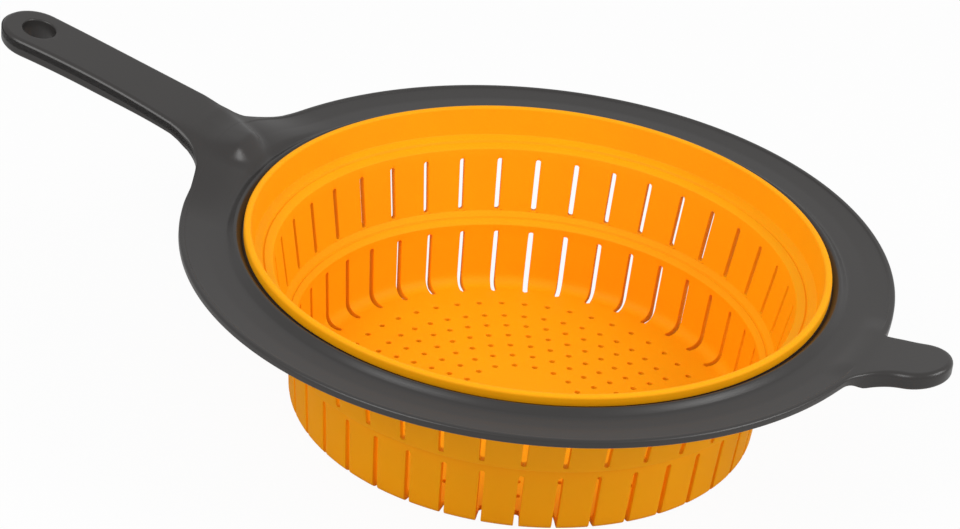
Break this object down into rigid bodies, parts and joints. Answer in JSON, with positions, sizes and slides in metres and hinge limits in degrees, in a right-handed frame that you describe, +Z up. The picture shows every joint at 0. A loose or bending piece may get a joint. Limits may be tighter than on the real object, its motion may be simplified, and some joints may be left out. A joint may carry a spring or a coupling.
{
  "type": "folding steamer insert",
  "caption": "Round folding steamer basket of slotted silicone in a rigid ring frame with a long raised handle and a small helper tab opposite.",
  "frame": {"origin": "centre of the basket's underside, on the basket's axis", "axes": "+Z up along the basket's axis; +X from the centre towards the helper tab, so the handle points along -X"},
  "size_m": [0.3922, 0.2678, 0.0988],
  "materials": {
    "nylon": "fine satin grain, glass-filled nylon",
    "silicone": "matt, smooth moulded silicone"
  },
  "bodies": {
    "frame": {"frame": "nylon", "basket_rim": "silicone", "upper_fold": "silicone"},
    "upper_tier": {"upper_wall": "silicone"},
    "lower_tier": {"middle_fold": "silicone", "lower_wall": "silicone", "base_grille": "silicone"}
  },
  "joints": [
    {"name": "base_slide", "type": "slide", "parent": "frame", "child": "lower_tier", "axis": [0, 0, 1], "range_m": [0, 0.0554]},
    {"name": "wall_turn", "type": "slide", "parent": "frame", "child": "upper_tier", "axis": [0, 0, 1], "range_m": [0, 0.0277]}
  ],
  "couplings": [
    {"joint": "wall_turn", "follows": "base_slide", "ratio": 0.5}
  ]
}
